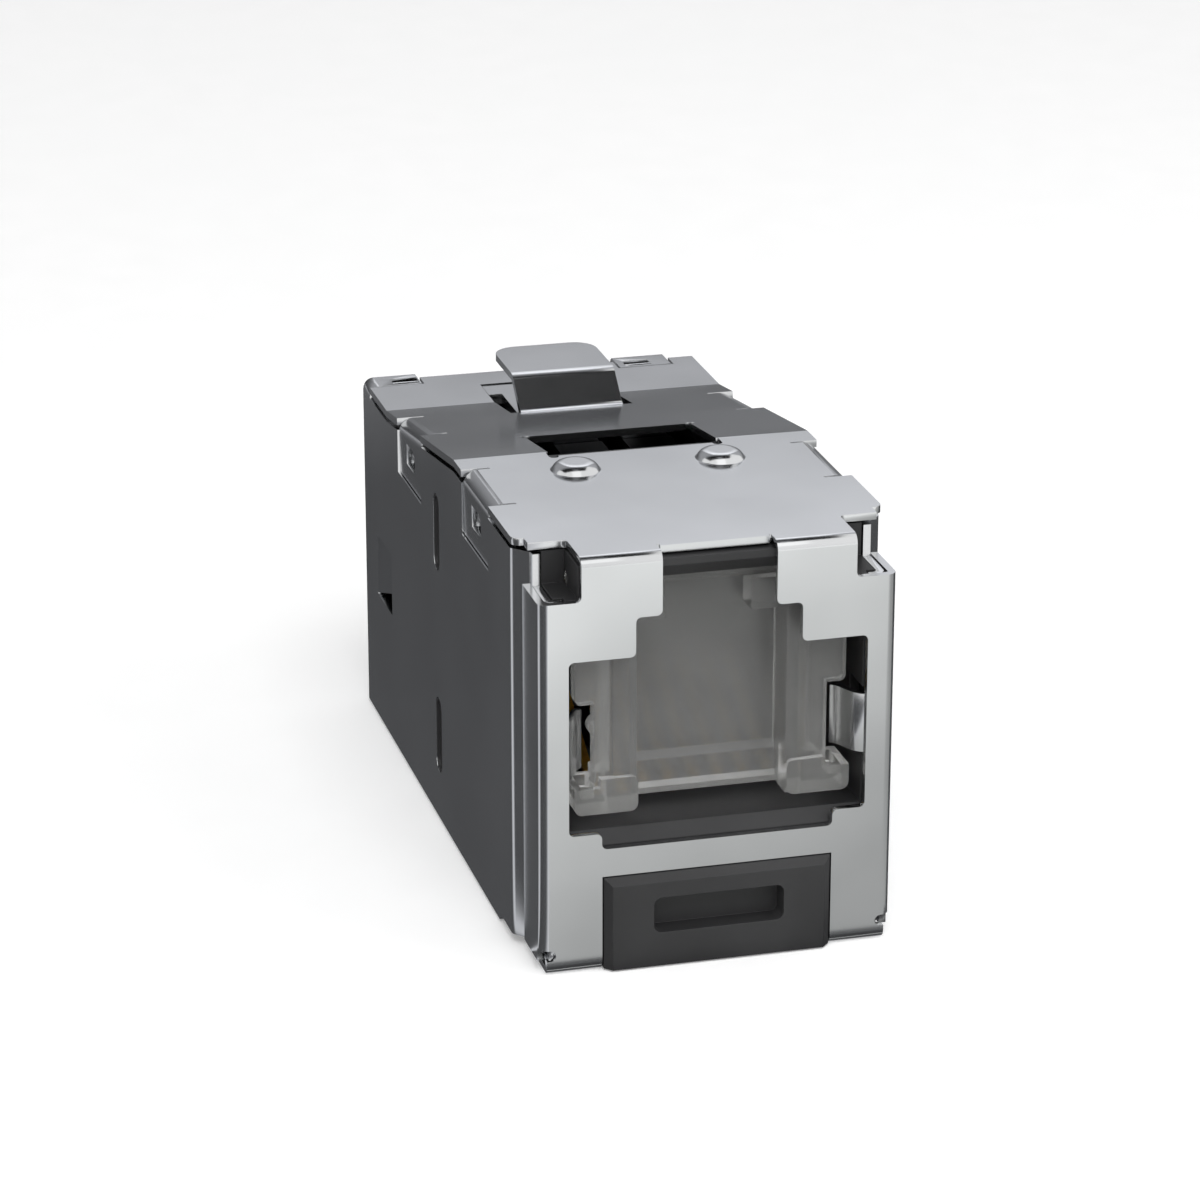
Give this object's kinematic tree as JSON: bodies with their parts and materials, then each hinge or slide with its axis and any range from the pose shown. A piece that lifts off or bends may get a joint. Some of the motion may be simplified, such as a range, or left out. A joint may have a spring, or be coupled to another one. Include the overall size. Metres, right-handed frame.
{
  "type": "keystone jack",
  "caption": "Shielded keystone jack for structured cabling: folded sheet shields, a stepped plug opening closed by a sprung dust shutter, snap latch tab on top and cable entry at the back.",
  "frame": {"origin": "middle of the body's width and depth, on the underside of the bottom plate", "axes": "+X to the right seen from the plug side, +Y from the plug opening to the cable entry, +Z from the bottom plate to the latch tab"},
  "size_m": [0.0148, 0.0308, 0.0173],
  "materials": {
    "plated_sheet": "satin nickel plate on folded sheet",
    "black_plastic": "fine matte moulding",
    "frosted_plastic": "frosted translucent moulding",
    "spring_steel": "drawn wire",
    "gold_contact": "gold plate",
    "board": "solder mask on glass fibre board",
    "tinned_blade": "tin plate"
  },
  "bodies": {
    "jack": {"front_cover": "plated_sheet", "rear_shell": "plated_sheet", "socket_housing": "black_plastic", "shutter_spring": "spring_steel", "contact_comb": "black_plastic", "contact_1": "gold_contact", "contact_2": "gold_contact", "contact_3": "gold_contact", "contact_4": "gold_contact", "contact_5": "gold_contact", "contact_6": "gold_contact", "contact_7": "gold_contact", "contact_8": "gold_contact", "circuit_board": "board", "idc_block": "black_plastic", "idc_1": "tinned_blade", "idc_2": "tinned_blade", "idc_3": "tinned_blade", "idc_4": "tinned_blade", "idc_5": "tinned_blade", "idc_6": "tinned_blade", "idc_7": "tinned_blade", "idc_8": "tinned_blade", "wire_cap": "black_plastic"},
    "shutter": {"dust_shutter": "frosted_plastic"}
  },
  "joints": [
    {"name": "shutter_hinge", "type": "hinge", "parent": "jack", "child": "shutter", "pos_m": [0, -0.01275, 0.01535], "axis": [1, 0, 0], "range_deg": [0, 85], "stiffness_Nm_per_rad": 0.0008, "springref_deg": -20.05, "deforming": ["shutter_spring"]}
  ]
}
